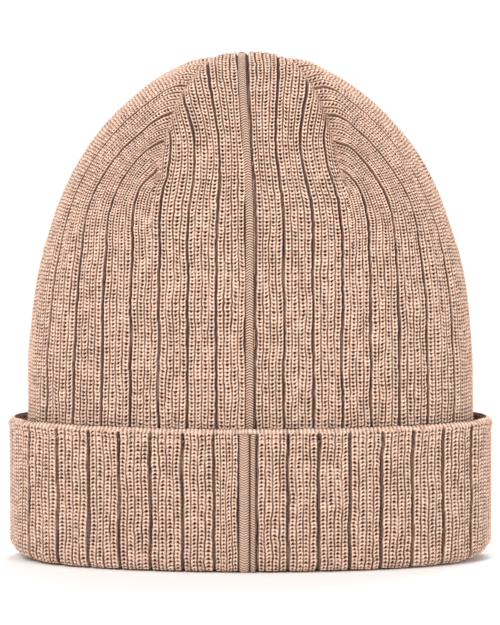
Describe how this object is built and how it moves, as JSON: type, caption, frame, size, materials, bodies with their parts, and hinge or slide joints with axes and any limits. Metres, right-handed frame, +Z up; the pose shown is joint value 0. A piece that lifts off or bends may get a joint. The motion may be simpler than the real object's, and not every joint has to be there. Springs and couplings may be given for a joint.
{
  "type": "knit beanie",
  "caption": "Rib-knit beanie with a turned-up cuff, a back seam and a top drawn together by four darts, standing half open on its cuff.",
  "frame": {"origin": "centre of the mouth, on the surface that the turned-up cuff stands on", "axes": "+Z up to the top of the crown, -Y the back of the head with the panel's seam, +X to the right seen from the back"},
  "size_m": [0.2008, 0.0932, 0.2098],
  "materials": {
    "crown_knit": "matt dusty beige wool-blend rib knit, face side",
    "cuff_knit": "matt dusty beige wool-blend rib knit, reverse side",
    "seam_stitching": "matt knitting yarn, linked stitches",
    "seam_allowance": "matt raw knit edge",
    "label_tape": "blank satin tape",
    "label_thread": "matt polyester thread"
  },
  "bodies": {
    "cuff": {"turn_up_cuff": "cuff_knit", "cuff_edge_welt": "cuff_knit", "back_seam_cuff": "seam_stitching"},
    "crown": {"crown_knit": "crown_knit", "back_seam_crown": "seam_stitching", "crown_tip_stitch": "seam_stitching", "dart_end_tacks": "seam_stitching", "back_seam_allowance": "seam_allowance", "dart_seam_allowances": "seam_allowance", "label_anchor_stitches": "label_thread", "dart_seam_back_left": "seam_stitching", "dart_seam_back_right": "seam_stitching", "dart_seam_front_left": "seam_stitching", "dart_seam_front_right": "seam_stitching"},
    "label": {"care_label": "label_tape"}
  },
  "joints": [
    {"name": "cuff_turn_down", "type": "slide", "parent": "cuff", "child": "crown", "axis": [0, 0, 1], "range_m": [0, 0.05]},
    {"name": "label_flap", "type": "hinge", "parent": "crown", "child": "label", "pos_m": [0, -0.0338, 0.033], "axis": [0, 0, 1], "range_deg": [0, 170]}
  ]
}
